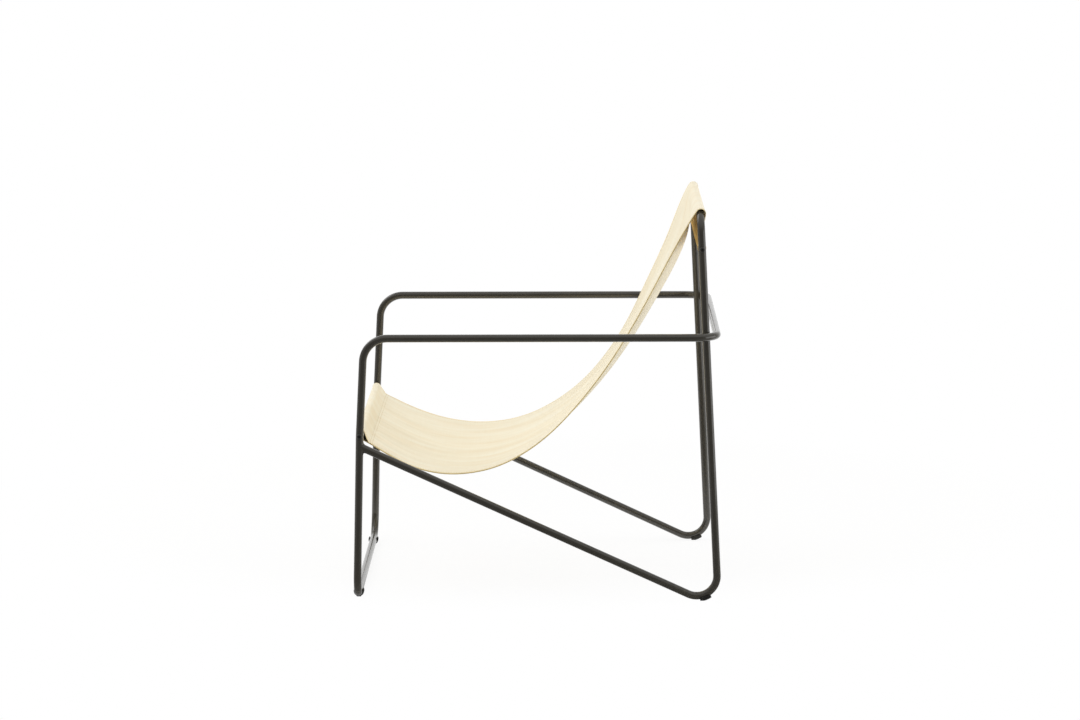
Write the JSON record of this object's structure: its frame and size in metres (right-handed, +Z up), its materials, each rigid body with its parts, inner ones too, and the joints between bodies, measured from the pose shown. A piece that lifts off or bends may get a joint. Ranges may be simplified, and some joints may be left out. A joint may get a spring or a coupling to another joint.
{
  "type": "sling lounge chair",
  "caption": "Low lounge chair with a slim bent tube frame, open arms and a hanging canvas sling for seat and back.",
  "frame": {"origin": "on the floor, under the middle of the chair's bounding box", "axes": "+Z up; the sitter faces -Y and has the left hand at +X"},
  "size_m": [0.6366, 0.7279, 0.773],
  "materials": {
    "frame_coat": "satin powder coat, warm black",
    "bolt_coat": "satin black",
    "zinc_steel": "zinc plated",
    "glide_plastic": "matt moulded",
    "sling_canvas": "plain weave, cream"
  },
  "bodies": {
    "root": {"arm_loop_left": "frame_coat", "arm_loop_right": "frame_coat", "rear_loop_left": "frame_coat", "rear_loop_right": "frame_coat", "weld_diagonal_left": "frame_coat", "weld_diagonal_right": "frame_coat", "weld_arm_left": "frame_coat", "weld_arm_right": "frame_coat", "front_bar": "frame_coat", "rear_bar": "frame_coat", "front_bolt_left": "bolt_coat", "front_bolt_right": "bolt_coat", "rear_bolt_left": "bolt_coat", "rear_bolt_right": "bolt_coat", "floor_bar_spigot": "zinc_steel", "back_bar_spigot": "zinc_steel", "top_bar_spigot": "zinc_steel", "front_insert_left": "zinc_steel", "front_insert_right": "zinc_steel", "rear_insert_left": "zinc_steel", "rear_insert_right": "zinc_steel", "front_glide_left": "glide_plastic", "front_glide_right": "glide_plastic", "rear_glide_left": "glide_plastic", "rear_glide_right": "glide_plastic", "sling": "sling_canvas"}
  },
  "joints": []
}
